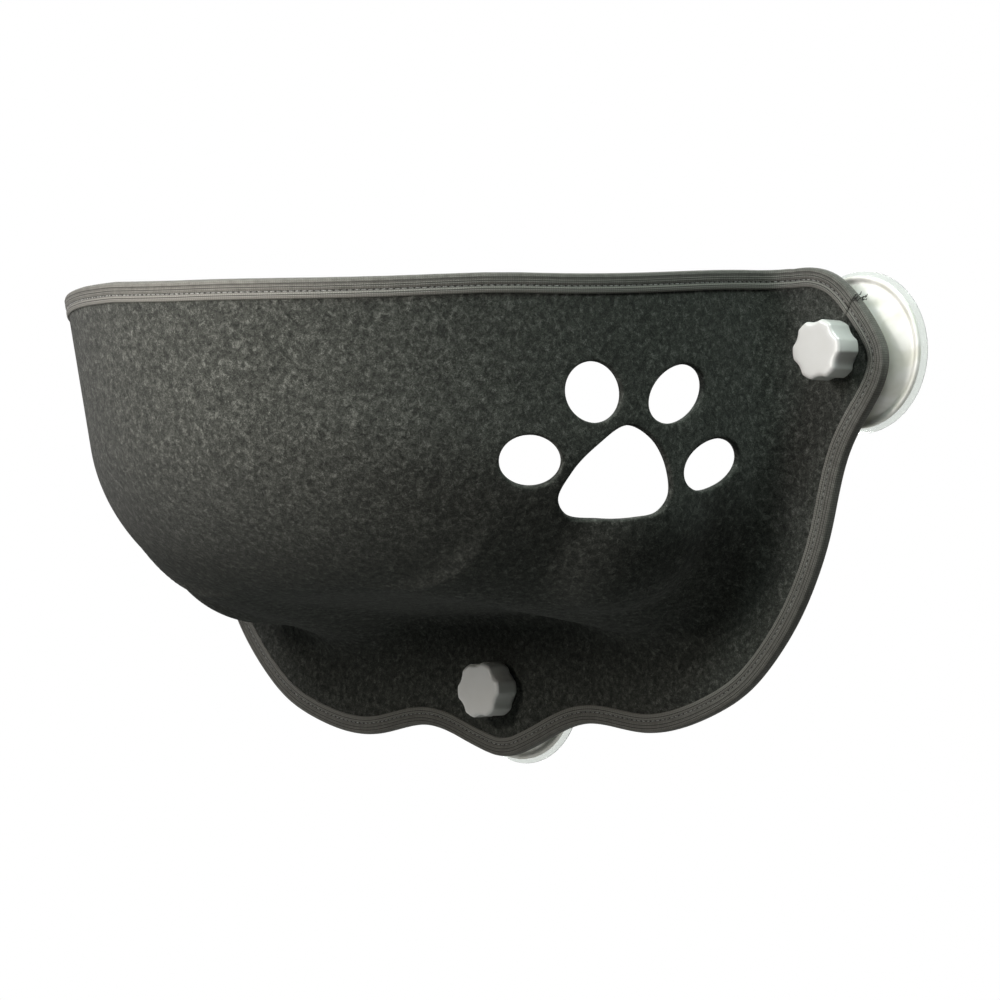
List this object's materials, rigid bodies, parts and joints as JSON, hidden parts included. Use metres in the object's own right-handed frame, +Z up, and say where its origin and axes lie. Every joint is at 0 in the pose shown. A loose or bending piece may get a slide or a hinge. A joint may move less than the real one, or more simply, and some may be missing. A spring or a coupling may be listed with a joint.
{
  "type": "window mounted cat perch",
  "caption": "Half-bowl felt cat perch with a flat flange, taped edges and paw-shaped air holes, held to a window pane by screw-down suction mounts with scalloped knobs.",
  "frame": {"origin": "centre of the lower suction mount's lip, on the window glass", "axes": "+Y into the glass, the room on the -Y side; +Z up; +X to the right as seen from the room"},
  "size_m": [0.614, 0.2925, 0.276],
  "materials": {
    "felt": "heathered charcoal needle felt",
    "binding_tape": "woven grey edge tape, folded and lockstitched",
    "soft_vinyl": "translucent soft vinyl, smooth",
    "pearl_plastic": "pearl white moulded plastic, satin gloss",
    "knob_plastic": "off-white moulded plastic, fine spark-eroded",
    "zinc_steel": "zinc plated",
    "eyelet_metal": "rolled, bright"
  },
  "bodies": {
    "perch": {"felt_shell": "felt", "rim_binding": "binding_tape", "flange_binding": "binding_tape", "left_sucker": "soft_vinyl", "left_cover": "pearl_plastic", "left_stud": "zinc_steel", "left_eyelet": "eyelet_metal", "right_sucker": "soft_vinyl", "right_cover": "pearl_plastic", "right_stud": "zinc_steel", "right_eyelet": "eyelet_metal", "bottom_sucker": "soft_vinyl", "bottom_cover": "pearl_plastic", "bottom_stud": "zinc_steel", "bottom_eyelet": "eyelet_metal"},
    "left_washer": {"left_washer": "zinc_steel"},
    "left_knob": {"left_knob": "knob_plastic", "left_knob_nut": "zinc_steel"},
    "right_washer": {"right_washer": "zinc_steel"},
    "right_knob": {"right_knob": "knob_plastic", "right_knob_nut": "zinc_steel"},
    "bottom_washer": {"bottom_washer": "zinc_steel"},
    "bottom_knob": {"bottom_knob": "knob_plastic", "bottom_knob_nut": "zinc_steel"}
  },
  "joints": [
    {"name": "left_knob_travel", "type": "slide", "parent": "perch", "child": "left_washer", "axis": [0, -1, 0], "range_m": [0, 0.00375]},
    {"name": "left_knob_turn", "type": "hinge", "parent": "left_washer", "child": "left_knob", "pos_m": [-0.262, -0.0321, 0.1825], "axis": [0, -1, 0], "range_deg": [0, 1080]},
    {"name": "right_knob_travel", "type": "slide", "parent": "perch", "child": "right_washer", "axis": [0, -1, 0], "range_m": [0, 0.00375]},
    {"name": "right_knob_turn", "type": "hinge", "parent": "right_washer", "child": "right_knob", "pos_m": [0.262, -0.0321, 0.1825], "axis": [0, -1, 0], "range_deg": [0, 1080]},
    {"name": "bottom_knob_travel", "type": "slide", "parent": "perch", "child": "bottom_washer", "axis": [0, -1, 0], "range_m": [0, 0.00375]},
    {"name": "bottom_knob_turn", "type": "hinge", "parent": "bottom_washer", "child": "bottom_knob", "pos_m": [0, -0.0321, 0], "axis": [0, -1, 0], "range_deg": [0, 1080]}
  ],
  "couplings": [
    {"joint": "left_knob_turn", "follows": "left_knob_travel", "rad_per_m": 5026.5},
    {"joint": "right_knob_turn", "follows": "right_knob_travel", "rad_per_m": 5026.5},
    {"joint": "bottom_knob_turn", "follows": "bottom_knob_travel", "rad_per_m": 5026.5}
  ]
}
